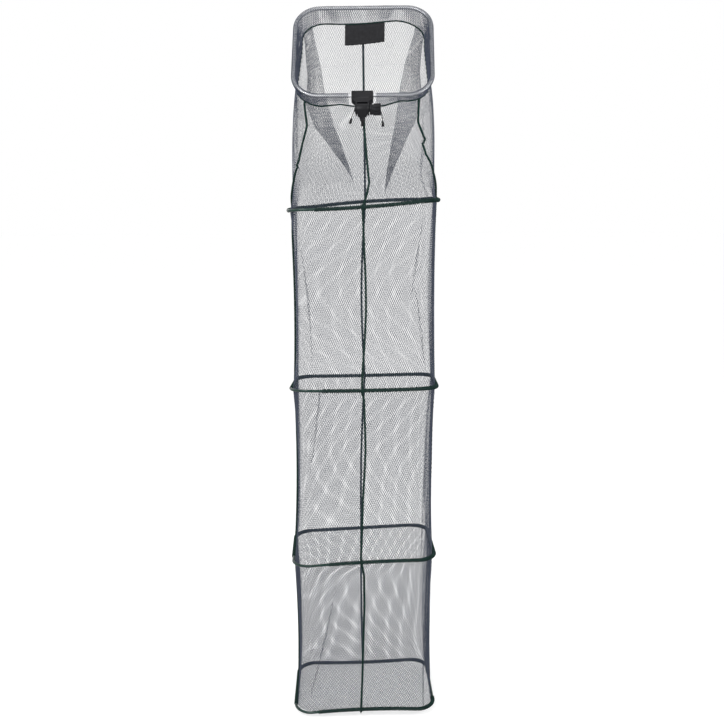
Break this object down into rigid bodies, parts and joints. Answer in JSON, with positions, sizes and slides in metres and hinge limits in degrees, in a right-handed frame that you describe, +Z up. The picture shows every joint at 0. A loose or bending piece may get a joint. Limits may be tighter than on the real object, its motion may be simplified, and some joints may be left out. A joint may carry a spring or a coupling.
{
  "type": "keep net",
  "caption": "Long fine-mesh keep net: a tilting rectangular mouth frame on a bank stick head, and a bag on laced rings.",
  "frame": {"origin": "centre of the shoulder under the nose, where it seats on a bank stick", "axes": "+X to the right of someone who faces the head, +Y from them towards the back of the mouth, +Z up"},
  "size_m": [0.5358, 0.4191, 2.5091],
  "materials": {
    "black_plastic": "moulded",
    "steel": "satin",
    "brass": "machined",
    "aluminium": "drawn",
    "green_cover": "gloss",
    "green_cord": "laid cord",
    "netting": "knotless mesh",
    "black_cord": "braided",
    "woven_label": "woven"
  },
  "bodies": {
    "nose": {"nose_body": "black_plastic", "threaded_stud": "steel"},
    "mouth": {"head_body": "black_plastic", "head_back_cover": "black_plastic", "cover_screw_left": "steel", "cover_screw_right": "steel", "pivot_bolt": "steel", "pivot_washer": "steel", "mouth_frame_tube": "aluminium", "frame_spigot": "aluminium", "frame_sleeve": "netting", "hem_cord": "green_cord", "name_label": "woven_label", "tie_cord_left": "black_cord", "tie_cord_right": "black_cord", "cord_end_left": "black_plastic", "cord_end_right": "black_plastic"},
    "knob": {"locking_knob": "black_plastic", "knob_insert": "brass"},
    "bag": {"throat_net": "netting", "throat_seam_front": "green_cord", "throat_seam_right": "green_cord", "throat_seam_back": "green_cord", "throat_seam_left": "green_cord"},
    "ring_1": {"ring_1_core": "steel", "ring_1_cover": "green_cover", "ring_1_lacing": "green_cord", "ring_1_knot": "green_cord", "net_section_1": "netting", "seam_1_front": "green_cord", "seam_1_right": "green_cord", "seam_1_back": "green_cord", "seam_1_left": "green_cord"},
    "ring_2": {"ring_2_core": "steel", "ring_2_cover": "green_cover", "ring_2_lacing": "green_cord", "ring_2_knot": "green_cord", "net_section_2": "netting", "seam_2_front": "green_cord", "seam_2_right": "green_cord", "seam_2_back": "green_cord", "seam_2_left": "green_cord"},
    "ring_3": {"ring_3_core": "steel", "ring_3_cover": "green_cover", "ring_3_lacing": "green_cord", "ring_3_knot": "green_cord", "net_section_3": "netting", "seam_3_front": "green_cord", "seam_3_right": "green_cord", "seam_3_back": "green_cord", "seam_3_left": "green_cord"},
    "ring_4": {"ring_4_core": "steel", "ring_4_cover": "green_cover", "ring_4_lacing": "green_cord", "ring_4_knot": "green_cord", "bottom_net": "netting"}
  },
  "joints": [
    {"name": "head_tilt", "type": "hinge", "parent": "nose", "child": "mouth", "pos_m": [0, 0, 0.037], "axis": [1, 0, 0], "range_deg": [-65, 33]},
    {"name": "knob_turn", "type": "hinge", "parent": "mouth", "child": "knob", "pos_m": [0, 0, 0.037], "axis": [1, 0, 0], "range_deg": [0, 360]},
    {"name": "bag_swing", "type": "hinge", "parent": "mouth", "child": "bag", "pos_m": [0, 0.13302, 0.23797], "axis": [1, 0, 0], "range_deg": [-33, 65]},
    {"name": "ring_1_slide", "type": "slide", "parent": "bag", "child": "ring_1", "axis": [0, 0, 1], "range_m": [0, 0.28], "deforming": ["throat_net", "throat_seam_front", "throat_seam_right", "throat_seam_back", "throat_seam_left"]},
    {"name": "ring_2_slide", "type": "slide", "parent": "ring_1", "child": "ring_2", "axis": [0, 0, 1], "range_m": [0, 0.589], "deforming": ["net_section_1", "seam_1_front", "seam_1_right", "seam_1_back", "seam_1_left"]},
    {"name": "ring_3_slide", "type": "slide", "parent": "ring_2", "child": "ring_3", "axis": [0, 0, 1], "range_m": [0, 0.573], "deforming": ["net_section_2", "seam_2_front", "seam_2_right", "seam_2_back", "seam_2_left"]},
    {"name": "ring_4_slide", "type": "slide", "parent": "ring_3", "child": "ring_4", "axis": [0, 0, 1], "range_m": [0, 0.522], "deforming": ["net_section_3", "seam_3_front", "seam_3_right", "seam_3_back", "seam_3_left"]}
  ],
  "couplings": [
    {"joint": "bag_swing", "follows": "head_tilt", "ratio": -1}
  ]
}
